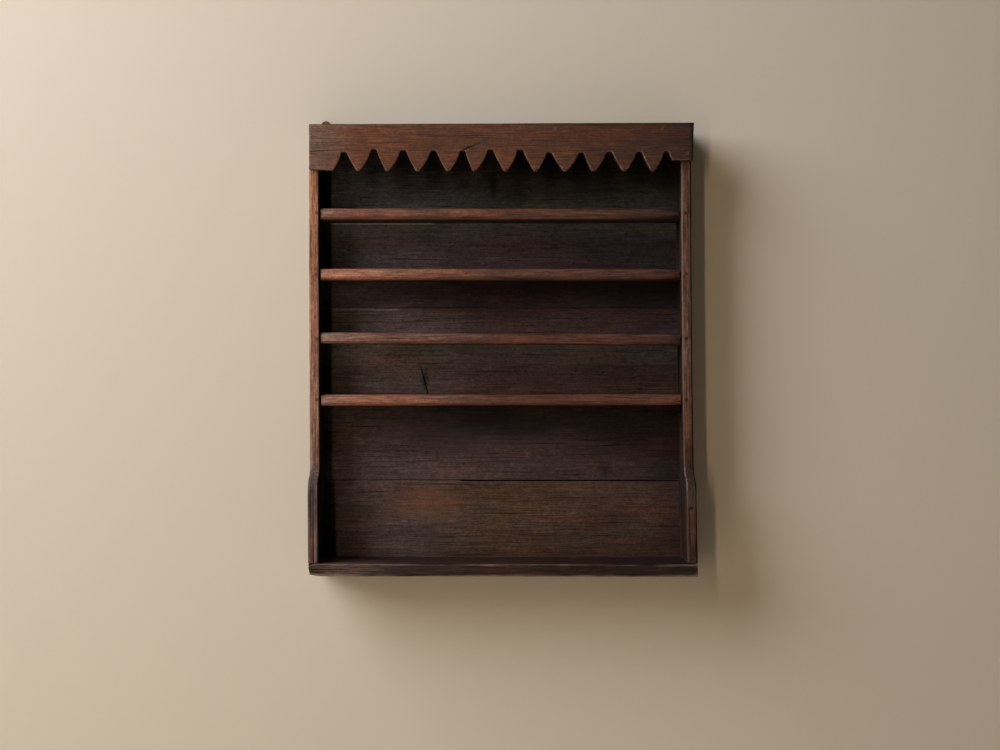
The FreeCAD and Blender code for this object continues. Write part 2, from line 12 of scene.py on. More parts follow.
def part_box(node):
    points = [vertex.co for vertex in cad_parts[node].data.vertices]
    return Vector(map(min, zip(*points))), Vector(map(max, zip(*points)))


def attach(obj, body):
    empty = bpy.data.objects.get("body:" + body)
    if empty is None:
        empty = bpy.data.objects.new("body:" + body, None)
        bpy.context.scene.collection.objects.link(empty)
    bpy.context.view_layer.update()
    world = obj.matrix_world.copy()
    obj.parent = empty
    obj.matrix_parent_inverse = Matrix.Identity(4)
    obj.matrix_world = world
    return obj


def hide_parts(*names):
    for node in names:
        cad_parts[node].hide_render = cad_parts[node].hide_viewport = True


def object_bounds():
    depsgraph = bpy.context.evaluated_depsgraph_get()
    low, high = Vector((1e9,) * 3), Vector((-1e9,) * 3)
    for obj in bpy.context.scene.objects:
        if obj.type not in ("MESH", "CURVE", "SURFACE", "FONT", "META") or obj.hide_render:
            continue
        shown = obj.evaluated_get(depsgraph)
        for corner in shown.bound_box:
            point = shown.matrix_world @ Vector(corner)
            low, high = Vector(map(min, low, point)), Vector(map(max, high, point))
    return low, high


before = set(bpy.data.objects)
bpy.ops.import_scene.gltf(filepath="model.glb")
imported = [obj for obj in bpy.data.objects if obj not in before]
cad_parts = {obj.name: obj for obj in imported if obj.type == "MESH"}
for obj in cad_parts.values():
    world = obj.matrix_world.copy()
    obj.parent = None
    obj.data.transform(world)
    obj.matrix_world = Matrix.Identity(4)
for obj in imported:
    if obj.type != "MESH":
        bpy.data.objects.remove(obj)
cad_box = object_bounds()

# Sides: two pine boards on end, planed by hand and sawn in front to a swelling step above the foot.
# Hands and crockery have rubbed their front arrises round; the shelves are housed in their inner faces.
MM = 0.001
SAME_PLACE = 0.01 * MM
CUT_MERGE = 0.02 * MM
ARRIS_ANGLE = math.radians(20)
CRISP_ANGLE = math.radians(40)
SIDE_SLICE = 5 * MM
SIDE_INNER_ARRIS = 3.5 * MM
SIDE_OUTER_ARRIS = {"left": 2.2 * MM, "right": 3.5 * MM}
STEP_FOOT = -268 * MM
STEP_HEAD = -215 * MM


def face_outline(node_name, axis, level):
    """The flat face of a CAD board at one level of an axis, as one polygon with its nail holes filled."""
    bm = bmesh.new()
    bm.from_mesh(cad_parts[node_name].data)
    bmesh.ops.remove_doubles(bm, verts=bm.verts, dist=SAME_PLACE)
    others = [f for f in bm.faces if any(abs(v.co[axis] - level) > SAME_PLACE for v in f.verts)]
    bmesh.ops.delete(bm, geom=others, context="FACES")
    bmesh.ops.holes_fill(bm, edges=[e for e in bm.edges if e.is_boundary], sides=4)
    bmesh.ops.dissolve_limit(bm, angle_limit=math.radians(1), verts=bm.verts, edges=bm.edges)
    return bm


def thicken(bm, axis, thickness):
    """Makes a board of an outline by drawing it out along an axis."""
    drawn = bmesh.ops.extrude_face_region(bm, geom=bm.faces[:])
    shift = Vector()
    shift[axis] = thickness
    bmesh.ops.translate(bm, vec=shift, verts=[g for g in drawn["geom"] if isinstance(g, bmesh.types.BMVert)])
    bmesh.ops.recalc_face_normals(bm, faces=bm.faces)


def cut_across(bm, axis, places):
    """Marks a board across at the given places, so that it can be bent and worn there."""
    normal = Vector()
    normal[axis] = 1
    for place in places:
        whole = bm.verts[:] + bm.edges[:] + bm.faces[:]
        bmesh.ops.bisect_plane(bm, geom=whole, dist=CUT_MERGE, plane_co=normal * place, plane_no=normal)


def even_places(low, high, spacing):
    """Places that divide a length evenly, about a spacing apart."""
    count = max(2, round((high - low) / spacing))
    return [low + (high - low) * i / count for i in range(1, count)]


def round_arrises(bm, radius, segments, chosen):
    """Rounds the edges that the test chooses by their two ends."""
    edges = [e for e in bm.edges if chosen(e.verts[0].co, e.verts[1].co)]
    bmesh.ops.bevel(bm, geom=edges, offset=radius, offset_type="OFFSET", affect="EDGES",
                    segments=segments, profile=0.5, material=-1, clamp_overlap=True)


def arris_points(bm):
    """Points every 2 mm along a fresh board's arrises, to measure from when it is worn."""
    spots = []
    for edge in bm.edges:
        if edge.is_manifold and edge.calc_face_angle() > ARRIS_ANGLE:
            a, b = edge.verts[0].co, edge.verts[1].co
            count = max(1, math.ceil((b - a).length / (2 * MM)))
            spots += [a.lerp(b, i / count) for i in range(count + 1)]
    tree = kdtree.KDTree(len(spots))
    for i, spot in enumerate(spots):
        tree.insert(spot, i)
    tree.balance()
    return tree


def weather(bm, arrises, seed, rub=0.8 * MM, chip=2.5 * MM, sag=0.5 * MM, reach=9 * MM):
    """Wears a board: rubs and chips its arrises and leaves its faces a little uneven.

    Each vertex keeps how rubbed it is, which the finish shows as bare wood.
    """
    rubbed = bm.verts.layers.float.new("rubbed")
    bm.normal_update()
    shift = Vector((seed * 7.3, seed * 3.1, seed * 5.7))
    moves = []
    for vert in bm.verts:
        # The noise has cells of about 110 mm for the faces, 22 mm for the rubbing and 9 mm for the chips
        near = max(0.0, 1 - arrises.find(vert.co)[2] / reach)
        uneven = 0.5 + 0.5 * noise.noise(vert.co * 9 + shift)
        patchy = 0.5 + 0.5 * noise.noise(vert.co * 45 + shift)
        nick = max(0.0, noise.noise(vert.co * 110 + shift) - 0.38)
        vert[rubbed] = near * (0.45 + 0.55 * patchy)
        moves.append(-vert.normal * (sag * uneven + near ** 2 * (rub * patchy + chip * nick)))
    for vert, move in zip(bm.verts, moves):
        vert.co += move


def mark(bm, name, amount):
    """Notes on each vertex how rubbed, dry or sooty it is, or how much painted light or painted shade it
    carries, by a rule that takes its place and direction.
    """
    layer = bm.verts.layers.float.get(name) or bm.verts.layers.float.new(name)
    bm.normal_update()
    for vert in bm.verts:
        vert[layer] = max(vert[layer], amount(vert.co, vert.normal))


def ramp(value, low, high):
    """How far a value has come from one limit to another, from 0 to 1."""
    return min(1.0, max(0.0, (value - low) / (high - low)))


# How far the carcass leans on the left and on the right: at its top, and how much further at its foot
LEFT_LEAN = (-2.4, 2.9)
RIGHT_LEAN = (-3.4, 8.8)


def settle(bm):
    """Racks a piece as the carcass has with age: the foot has gone to the right, most on the right."""
    low, high = cad_box
    for vert in bm.verts:
        fall = ramp(vert.co.z, high.z, low.z) ** 2
        to_right = ramp(vert.co.x, low.x, high.x)
        at_left = LEFT_LEAN[0] + LEFT_LEAN[1] * fall
        at_right = RIGHT_LEAN[0] + RIGHT_LEAN[1] * fall
        vert.co.x += at_left * MM * (1 - to_right) + at_right * MM * to_right


TO_BACK = (0, 1, 0)


def open_split(bm, start, end, into, width, depth):
    """Opens a drying split on a board's face: a groove along a line, deepest at its start and closed at its
    end, with dirt in it. Places, width and depth are in millimetres."""
    start, end, into = Vector(start) * MM, Vector(end) * MM, Vector(into)
    along = (end - start).normalized()
    length = (end - start).length
    across = along.cross(into)
    beside = 8 * MM
    bm.normal_update()
    for offset in (-width, 0.0, width):
        parts = set()
        for face in bm.faces:
            spot = face.calc_center_median() - start
            close = abs(spot.dot(across)) < beside and -beside < spot.dot(along) < length
            if close and face.normal.dot(into) < -0.7:
                parts.update([face, *face.edges, *face.verts])
        bmesh.ops.bisect_plane(bm, geom=list(parts), dist=CUT_MERGE, plane_co=start + across * offset * MM,
                               plane_no=across)
    dirt_and_painted_shade = bm.verts.layers.float.get("soot_and_painted_shade") or bm.verts.layers.float.new("soot_and_painted_shade")
    for vert in bm.verts:
        spot = vert.co - start
        share = spot.dot(along) / length
        if share <= 1 and abs(spot.dot(across)) < 0.05 * MM and abs(spot.dot(into)) < 4 * MM:
            vert.co += into * depth * MM * (1 - max(0.0, share))
            vert[dirt_and_painted_shade] = 0.95


def add_piece(bm, name, material, slot, *nodes):
    """Makes a finished mesh a piece of the shelf, which stands for its CAD nodes."""
    settle(bm)
    bmesh.ops.recalc_face_normals(bm, faces=bm.faces)
    mesh = bpy.data.meshes.new(name)
    bm.to_mesh(mesh)
    bm.free()
    mesh.shade_smooth()
    mesh.set_sharp_from_angle(angle=CRISP_ANGLE)
    mesh.materials.append(material)
    piece = bpy.data.objects.new(name, mesh)
    bpy.context.scene.collection.objects.link(piece)
    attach(piece, "root")
    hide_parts(*nodes)


def linear(hex_colour):
    """An sRGB hex colour as the linear colour that a shader takes."""
    parts = [int(hex_colour[i:i + 2], 16) / 255 for i in (1, 3, 5)]
    return [p / 12.92 if p <= 0.04045 else ((p + 0.055) / 1.055) ** 2.4 for p in parts] + [1.0]


def add_node(tree, kind, inputs=None, **settings):
    """Adds a node with its settings; an input takes a value, or a link from another node's output."""
    node = tree.nodes.new(kind)
    for name, value in settings.items():
        setattr(node, name, value)
    for socket, source in (inputs or {}).items():
        if isinstance(source, bpy.types.NodeSocket):
            tree.links.new(source, node.inputs[socket])
        else:
            node.inputs[socket].default_value = source
    return node


RING_WIDTH = 4
LATE_WOOD_SHADE = (0.52, 0.48, 0.45, 1.0)
RED_CLOUD_TINT = (1.2, 0.97, 0.86, 1.0)


def old_pine(name, tones, bare, soot_and_painted_shade, grain, seed, knots=(), stains=(), rough=(0.48, 0.72), shine=0.3,
             figure=0.5, grey="#6f6157", sawn=False):
    """Old pine with wax and smoke in it: early wood and harder, darker late wood in lines along the grain,
    fine fibres, checks full of dirt, dents, cloudy staining, knots, bare rubbed arrises, dry grey ends, a
    pale line of painted light along some seams, and soot where it was never cleaned, whose dark colour is
    also laid as painted shade.

    grain is the axis along the board, and tones are its colours at the start, in the middle and at the end
    of that axis; knots and stains are spots on the face as x, z, half length and half height, and a stain
    has a colour and a strength too.
    """
    material = bpy.data.materials.new(name)
    material.use_nodes = True
    tree = material.node_tree
    tree.nodes.clear()
    place = add_node(tree, "ShaderNodeTexCoord").outputs["Object"]

    # The grain wanders a few millimetres on its way along the board; spots on it have ragged rims
    shifted = []
    for cell, reach in ((200, 6), (20 / 3, 9)):
        drift = add_node(tree, "ShaderNodeTexNoise",
                         {"Vector": place, "Scale": 1 / (cell * MM), "Detail": 2.0}).outputs["Color"]
        drift = add_node(tree, "ShaderNodeVectorMath", {0: drift, 1: (0.5, 0.5, 0.5)}, operation="SUBTRACT")
        drift = add_node(tree, "ShaderNodeVectorMath", {0: drift.outputs[0], "Scale": reach * MM},
                         operation="SCALE")
        moved = add_node(tree, "ShaderNodeVectorMath", {0: place, 1: drift.outputs[0]}, operation="ADD")
        shifted.append(moved.outputs[0])
    bent, ragged = shifted

    def pattern(length, width, start, detail):
        """Noise drawn out along the grain, with cells of a length and a width in millimetres."""
        scale = [1 / (width * MM)] * 3
        scale[grain] = 1 / (length * MM)
        moved = [seed * 3.7 + start, seed * 1.9 - start, seed * 2.3 + start]
        cells = add_node(tree, "ShaderNodeMapping",
                         {"Vector": bent, "Location": moved, "Scale": scale}).outputs[0]
        return add_node(tree, "ShaderNodeTexNoise",
                        {"Vector": cells, "Scale": 1.0, "Detail": detail}).outputs["Fac"]

    def away_from(x, z, half_length, half_height):
        """How far a place lies from a spot on the face, in shares of the spot's own half sizes."""
        to_spot = (-x * MM, 0.0, -z * MM)
        shares = (1 / (half_length * MM), 0.0, 1 / (half_height * MM))
        moved = add_node(tree, "ShaderNodeVectorMath", {0: ragged, 1: to_spot}, operation="ADD")
        moved = add_node(tree, "ShaderNodeVectorMath", {0: moved.outputs[0], 1: shares}, operation="MULTIPLY")
        return add_node(tree, "ShaderNodeVectorMath", {0: moved.outputs[0]},
                        operation="LENGTH").outputs["Value"]

    fibre = pattern(length=60, width=1.5, start=4.0, detail=4.0)
    grit = pattern(length=5, width=2.5, start=40.0, detail=2.0)
    streak = pattern(length=150, width=5.0, start=9.0, detail=3.0)
    mottle = pattern(length=13, width=8.0, start=18.0, detail=3.0)
    cloud = pattern(length=140, width=55, start=14.0, detail=3.0)
    check = pattern(length=110, width=1.7, start=21.0, detail=2.0)
    dent = pattern(length=6, width=4.0, start=27.0, detail=1.0)
    warmth = pattern(length=160, width=40, start=33.0, detail=3.0)

    # Year rings run along the grain and swell round each knot
    growth = pattern(length=RING_WIDTH * 60, width=RING_WIDTH * 5, start=0.0, detail=1.0)
    knot_core = None
    for x, z, half_length, half_height in knots:
        away = away_from(x, z, half_length, half_height)
        swell = add_node(tree, "ShaderNodeMapRange",
                         {"Value": away, "From Min": 3.5, "From Max": 0.4, "To Max": 0.14},
                         interpolation_type="SMOOTHSTEP").outputs[0]
        growth = add_node(tree, "ShaderNodeMath", {0: growth, 1: swell}, operation="ADD").outputs[0]
        core = add_node(tree, "ShaderNodeMapRange",
                        {"Value": away, "From Min": 1.25, "From Max": 0.5, "To Max": 0.8},
                        interpolation_type="SMOOTHSTEP").outputs[0]
        if knot_core is not None:
            core = add_node(tree, "ShaderNodeMath", {0: knot_core, 1: core}, operation="MAXIMUM").outputs[0]
        knot_core = core
    rings = add_node(tree, "ShaderNodeMath", {0: growth, 1: 11.0}, operation="MULTIPLY").outputs[0]
    rings = add_node(tree, "ShaderNodeMath", {0: rings}, operation="FRACT").outputs[0]
    late = add_node(tree, "ShaderNodeMapRange", {"Value": rings, "From Min": 0.35, "From Max": 0.92},
                    interpolation_type="SMOOTHSTEP").outputs[0]

    # Colour: late wood over early wood, dry grey wood and painted light lines, redder clouds, then lighter
    # and darker streaks along the grain
    along = add_node(tree, "ShaderNodeSeparateXYZ", {0: place}).outputs["XYZ"[grain]]
    colour = linear(tones[0])
    half_board = 360 * MM
    for start, end, tone in ((-half_board, 0.0, tones[1]), (0.0, half_board, tones[2])):
        share = add_node(tree, "ShaderNodeMapRange",
                         {"Value": along, "From Min": start, "From Max": end}).outputs[0]
        colour = add_node(tree, "ShaderNodeMix", {0: share, 6: colour, 7: linear(tone)},
                          data_type="RGBA").outputs[2]
    figured = add_node(tree, "ShaderNodeMath", {0: late, 1: figure}, operation="MULTIPLY").outputs[0]
    colour = add_node(tree, "ShaderNodeMix", {0: figured, 6: colour, 7: LATE_WOOD_SHADE}, data_type="RGBA",
                      blend_type="MULTIPLY").outputs[2]
    dry_and_painted_light = add_node(tree, "ShaderNodeAttribute", attribute_name="dry_and_painted_light").outputs["Fac"]
    colour = add_node(tree, "ShaderNodeMix", {0: dry_and_painted_light, 6: colour, 7: linear(grey)},
                      data_type="RGBA").outputs[2]
    red = add_node(tree, "ShaderNodeMapRange",
                   {"Value": warmth, "From Min": 0.42, "From Max": 0.66}).outputs[0]
    colour = add_node(tree, "ShaderNodeMix", {0: red, 6: colour, 7: RED_CLOUD_TINT}, data_type="RGBA",
                      blend_type="MULTIPLY").outputs[2]
    for mask, start, end, low, high in ((fibre, 0.35, 0.65, 1 - figure, 1 + figure),
                                        (streak, 0.3, 0.7, 0.84, 1.16),
                                        (grit, 0.35, 0.65, 0.8, 1.2),
                                        (mottle, 0.3, 0.7, 0.8, 1.2),
                                        (cloud, 0.3, 0.7, 0.8, 1.2),
                                        (check, 0.6, 0.68, 1.0, 0.35),
                                        (dent, 0.66, 0.76, 1.0, 0.5)):
        gain = add_node(tree, "ShaderNodeMapRange",
                        {"Value": mask, "From Min": start, "From Max": end, "To Min": low,
                         "To Max": high}).outputs[0]
        colour = add_node(tree, "ShaderNodeMix", {0: 1.0, 6: colour, 7: gain}, data_type="RGBA",
                          blend_type="MULTIPLY").outputs[2]
    if knot_core is not None:
        colour = add_node(tree, "ShaderNodeMix", {0: knot_core, 6: colour, 7: linear(soot_and_painted_shade)},
                          data_type="RGBA").outputs[2]
    for x, z, half_length, half_height, tone, strength in stains:
        away = away_from(x, z, half_length, half_height)
        stained = add_node(tree, "ShaderNodeMapRange",
                           {"Value": away, "From Min": 1.3, "From Max": 0.2, "To Max": strength},
                           interpolation_type="SMOOTHSTEP").outputs[0]
        patchy = add_node(tree, "ShaderNodeMath", {0: stained, 1: streak}, operation="MULTIPLY").outputs[0]
        colour = add_node(tree, "ShaderNodeMix", {0: patchy, 6: colour, 7: linear(tone)},
                          data_type="RGBA").outputs[2]

    # Rubbed arrises lose their stain in patches; soot lies where the boards were never wiped, and the same
    # dark colour is laid where shade is painted
    rubbed = add_node(tree, "ShaderNodeAttribute", attribute_name="rubbed").outputs["Fac"]
    patches = add_node(tree, "ShaderNodeMapRange",
                       {"Value": streak, "From Min": 0.35, "From Max": 0.65, "To Min": 0.5,
                        "To Max": 1.3}).outputs[0]
    rubbed = add_node(tree, "ShaderNodeMath", {0: rubbed, 1: patches}, operation="MULTIPLY").outputs[0]
    bared = add_node(tree, "ShaderNodeMapRange",
                     {"Value": rubbed, "From Min": 0.3, "From Max": 0.95, "To Max": 0.8}).outputs[0]
    colour = add_node(tree, "ShaderNodeMix", {0: bared, 6: colour, 7: linear(bare)},
                      data_type="RGBA").outputs[2]
    dirt_and_painted_shade = add_node(tree, "ShaderNodeAttribute", attribute_name="soot_and_painted_shade").outputs["Fac"]
    uneven = add_node(tree, "ShaderNodeMapRange",
                      {"Value": cloud, "From Min": 0.3, "From Max": 0.7, "To Min": 1.2,
                       "To Max": 0.8}).outputs[0]
    dirt_and_painted_shade = add_node(tree, "ShaderNodeMath", {0: dirt_and_painted_shade, 1: uneven}, operation="MULTIPLY",
                    use_clamp=True).outputs[0]
    colour = add_node(tree, "ShaderNodeMix", {0: dirt_and_painted_shade, 6: colour, 7: linear(soot_and_painted_shade)},
                      data_type="RGBA").outputs[2]

    # Relief: soft early wood wears away between the late-wood lines, and a sawn face keeps its saw marks
    relief = add_node(tree, "ShaderNodeMath", {0: fibre, 1: late}, operation="ADD").outputs[0]
    if sawn:
        kerfs = [1 / (7 * MM) if axis == grain else 0.0 for axis in range(3)]
        kerfs[2 if grain == 0 else 0] = 1 / (60 * MM)
        marks = add_node(tree, "ShaderNodeMapping", {"Vector": bent, "Scale": kerfs}).outputs[0]
        marks = add_node(tree, "ShaderNodeTexNoise",
                         {"Vector": marks, "Scale": 1.0, "Detail": 2.0}).outputs["Fac"]
        facing = add_node(tree, "ShaderNodeNewGeometry").outputs["Normal"]
        facing = add_node(tree, "ShaderNodeSeparateXYZ", {0: facing}).outputs["Y"]
        facing = add_node(tree, "ShaderNodeMapRange",
                          {"Value": facing, "From Min": 0.3, "From Max": 0.8, "To Max": 2.5}).outputs[0]
        marks = add_node(tree, "ShaderNodeMath", {0: marks, 1: facing}, operation="MULTIPLY").outputs[0]
        relief = add_node(tree, "ShaderNodeMath", {0: relief, 1: marks}, operation="ADD").outputs[0]
    bump = add_node(tree, "ShaderNodeBump", {"Height": relief, "Strength": 0.6, "Distance": 0.5 * MM})
    gloss = add_node(tree, "ShaderNodeMapRange",
                     {"Value": fibre, "From Min": 0.3, "From Max": 0.7, "To Min": rough[0],
                      "To Max": rough[1]}).outputs[0]
    gloss = add_node(tree, "ShaderNodeMix", {0: dirt_and_painted_shade, 2: gloss, 3: 0.95}).outputs[0]
    surface = add_node(tree, "ShaderNodeBsdfPrincipled",
                       {"Base Color": colour, "Roughness": gloss, "Normal": bump.outputs[0],
                        "Specular IOR Level": shine})
    add_node(tree, "ShaderNodeOutputMaterial", {"Surface": surface.outputs[0]})
    return material


# The left side is lighter than the right one: partly the wood's own colour, partly painted light from the
# left
SIDE_PINES = {
    "left": old_pine("waxed_pine_left_side", ("#73564e", "#916854", "#976545"), "#a27f6e", "#14100e",
                     grain=2, seed=1, shine=0.15, grey="#66574f", figure=0.48,
                     stains=((-356, -266, 7, 9, "#2a211c", 1.4),)),
    "right": old_pine("waxed_pine_right_side", ("#643d28", "#5f4639", "#5a3f30"), "#7d6b5f", "#0a0706",
                      grain=2, seed=2, shine=0.1, grey="#4f423a",
                      stains=((357, -300, 5, 4, "#120c09", 1.6),)),
}
SIDE_SPLITS = {"left": ((-354, -403, -283, 0.9), (-359, -345, -250, 0.6)),
               "right": ((351, -360, -300, 0.5),)}


def front_arris(x, rear):
    """A test for the long front arris of a side on its face at x, step and all."""
    def test(a, b):
        return max(abs(a.x - x), abs(b.x - x)) < MM and max(a.y, b.y) < rear - 50 * MM
    return test


def across_edge(co):
    """How far across a side's front edge a place lies, from 0 on its inner strip to 1 on its outer one."""
    return ramp(abs(co.x), 353 * MM, 355 * MM)


def above_foot(co):
    """Whether a place on a side lies above the foot of its step, from 0 to 1."""
    return ramp(co.z, STEP_FOOT - 2 * MM, STEP_FOOT + 6 * MM)


def on_inner_arris(inward, normal):
    """Whether a place on a side faces as its inner front arris does, from 0 to 1."""
    return ramp(normal.x * inward, 0.15, 0.4) * ramp(-normal.y, 0.15, 0.4)


def left_side_soot_and_painted_shade(co, normal):
    """Soot and painted shade on the left side: painted shade darkens its inner face, the outer one is dull,
    and the foot is dark.
    """
    at_foot = (0.25 + 0.3 * across_edge(co)) * ramp(co.z, STEP_HEAD, STEP_FOOT)
    # Painted shade: the inner face, turned away from the light, is darkened almost to black
    inside = 0.97 * ramp(normal.x, 0.35, 0.6)
    outside = 0.6 * ramp(-normal.x, 0.9, 0.99)
    return max(at_foot, inside, outside)


def right_side_soot_and_painted_shade(co, normal):
    """Soot and painted shade on the right side: as on the left one, but the step and the lower end are sooty
    too, and the outer arris is darkened with painted shade; the inner arris is clean on the step, where
    hands rub it, and duller above and below."""
    at_foot = (0.62 - 0.47 * across_edge(co)) * ramp(co.z, STEP_HEAD, STEP_FOOT)
    at_step = 0.45 * ramp(co.z, -165 * MM, -190 * MM) * ramp(co.z, -310 * MM, -280 * MM)
    at_end = 0.5 * ramp(co.z, -350 * MM, -372 * MM)
    inner_arris = on_inner_arris(-1, normal)
    not_rubbed = 1 - inner_arris * above_foot(co)
    dull = inner_arris * max(0.5 * (1 - above_foot(co)), 0.25 * ramp(co.z, -190 * MM, -165 * MM))
    inside = 0.75 * ramp(-normal.x, 0.75, 0.95)
    # Painted shade: the outer arris, turned away from the light, is darkened to a dark line
    outer_arris_shade = 0.97 * ramp(normal.x, 0.1, 0.45) * ramp(-normal.y, 0.05, 0.2)
    outside = 0.4 * ramp(normal.x, 0.9, 0.99)
    return max(max(at_foot, at_step, at_end) * not_rubbed, dull, inside, outer_arris_shade, outside)


def side_dry(co, at_foot):
    """How dry and grey a side is: at its step, and down the inner strip of its foot."""
    inner_strip = 1 - 0.6 * across_edge(co)
    step = ramp(co.z, STEP_HEAD + 10 * MM, STEP_HEAD - 8 * MM)
    foot = ramp(co.z, STEP_FOOT, STEP_FOOT - 40 * MM)
    return step * (0.85 * (1 - foot) + at_foot * inner_strip * foot)


for hand, seed, inward, soot_and_painted_shade, dry_foot in (("left", 1, 1, left_side_soot_and_painted_shade, 0.85),
                                           ("right", 2, -1, right_side_soot_and_painted_shade, 0.35)):
    node_name = f"{hand}_side"
    low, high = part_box(node_name)
    outer, inner = (low.x, high.x) if hand == "left" else (high.x, low.x)
    rear = high.y
    board = face_outline(node_name, 0, outer)
    thicken(board, 0, inner - outer)
    worn_from = arris_points(board)
    round_arrises(board, SIDE_INNER_ARRIS, 4, front_arris(inner, rear))
    round_arrises(board, SIDE_OUTER_ARRIS[hand], 3, front_arris(outer, rear))
    cut_across(board, 0, even_places(low.x, high.x, SIDE_SLICE))
    cut_across(board, 1, [low.y + 8 * MM, low.y + 48 * MM, low.y + 60 * MM, rear - 45 * MM, rear - 6 * MM])
    cut_across(board, 2, even_places(low.z, high.z, SIDE_SLICE))
    weather(board, worn_from, seed)
    for x, foot, head, width in SIDE_SPLITS[hand]:
        open_split(board, (x, low.y / MM, foot), (x, low.y / MM, head), TO_BACK, width, depth=5)
    mark(board, "rubbed", lambda co, normal: on_inner_arris(inward, normal) * above_foot(co))
    mark(board, "soot_and_painted_shade", soot_and_painted_shade)
    mark(board, "dry_and_painted_light", lambda co, normal: side_dry(co, dry_foot))
    add_piece(board, f"worn_{node_name}", SIDE_PINES[hand], "side_pine", node_name)

# Top and bottom boards: they run over the ends of the sides and are nailed down into them. The bottom
# board is dry and grey, split at its left end and rubbed along its front by years of use.
bottom_pine = old_pine("dry_grey_pine_bottom", ("#342526", "#322117", "#21140f"), "#8b7564", "#15110f",
                       grain=0, seed=5, shine=0.2, grey="#54473d", figure=0.7)
top_pine = old_pine("smoked_pine_top", ("#4b3a2f", "#46362c", "#3f3028"), "#6d5646", "#120d0a",
                    grain=0, seed=6)


def sawn_board(low, high):
    """A squared board between two corners."""
    bm = bmesh.new()
    bmesh.ops.create_cube(bm, size=1)
    bmesh.ops.scale(bm, vec=high - low, verts=bm.verts)
    bmesh.ops.translate(bm, vec=(low + high) / 2, verts=bm.verts)
    return bm


def at_level(axis_a, level_a, axis_b, level_b):
    """A test for the arris where two faces meet, given as an axis and a level for each."""
    def test(a, b):
        return all(abs(p[axis] - level) < SAME_PLACE for p in (a, b)
                   for axis, level in ((axis_a, level_a), (axis_b, level_b)))
    return test


def long_arrises(bm, low, high, upper_front, lower_front, rear):
    """Rounds the four arrises along a board's length, each front one by its own radius."""
    round_arrises(bm, upper_front, 4, at_level(1, low.y, 2, high.z))
    round_arrises(bm, lower_front, 4, at_level(1, low.y, 2, low.z))
    for level in (low.z, high.z):
        round_arrises(bm, rear, 2, at_level(1, high.y, 2, level))


def knock_off(bm, spot, into, reach, bite):
    """Breaks off a corner raggedly: what lies within reach of a spot is pushed back into the board."""
    spot, into = Vector(spot) * MM, Vector(into).normalized()
    for vert in bm.verts:
        near = 1 - (vert.co - spot).length / (reach * MM)
        if near > 0:
            vert.co += into * bite * MM * near * (1 + 0.6 * noise.noise(vert.co * 170))


def tilt(bm, low, high, left, right):
    """Lets a board down or up by a few millimetres at its left and its right end."""
    for vert in bm.verts:
        vert.co.z += (left + (right - left) * ramp(vert.co.x, low.x, high.x)) * MM


for node_name, pine, slot, seed in (("bottom_board", bottom_pine, "bottom_pine", 5),
                                    ("top_board", top_pine, "back_pine", 6)):
    low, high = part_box(node_name)
    board = sawn_board(low, high)
    worn_from = arris_points(board)
    long_arrises(board, low, high, upper_front=2.5 * MM, lower_front=2 * MM, rear=1 * MM)
    cut_across(board, 1, [low.y + 9 * MM, low.y + 25 * MM, low.y + 60 * MM, high.y - 12 * MM])
    cut_across(board, 2, even_places(low.z, high.z, 5 * MM))
    cut_across(board, 0, even_places(low.x, high.x, 5 * MM))
    weather(board, worn_from, seed)
    if node_name == "bottom_board":
        front = low.y / MM
        for level, reach, width in ((-408.5, 42, 1.2), (-414.5, 85, 1.2), (-420.5, 34, 1.5)):
            open_split(board, (-366, front, level), (-366 + reach, front, level + 1), TO_BACK, width,
                       depth=10)
        knock_off(board, (-365, front, -427.5), (1, 0.4, 1), reach=17, bite=8)
        knock_off(board, (-365, front, -404), (0.3, 0.5, -1), reach=12, bite=4)
        mark(board, "soot_and_painted_shade", lambda co, normal: 0.75 * ramp(co.x, -346 * MM, -364 * MM))
        tilt(board, low, high, left=-0.6, right=-1.6)
        mark(board, "dry_and_painted_light", lambda co, normal: 0.8 * ramp(co.x, -200 * MM, -340 * MM))
        mark(board, "soot_and_painted_shade", lambda co, normal: 0.3 * ramp(normal.z, 0.5, 0.9) * ramp(co.x, 0.0, 250 * MM))
    else:
        mark(board, "soot_and_painted_shade", lambda co, normal: 0.5)
    add_piece(board, f"worn_{node_name}", pine, slot, node_name)
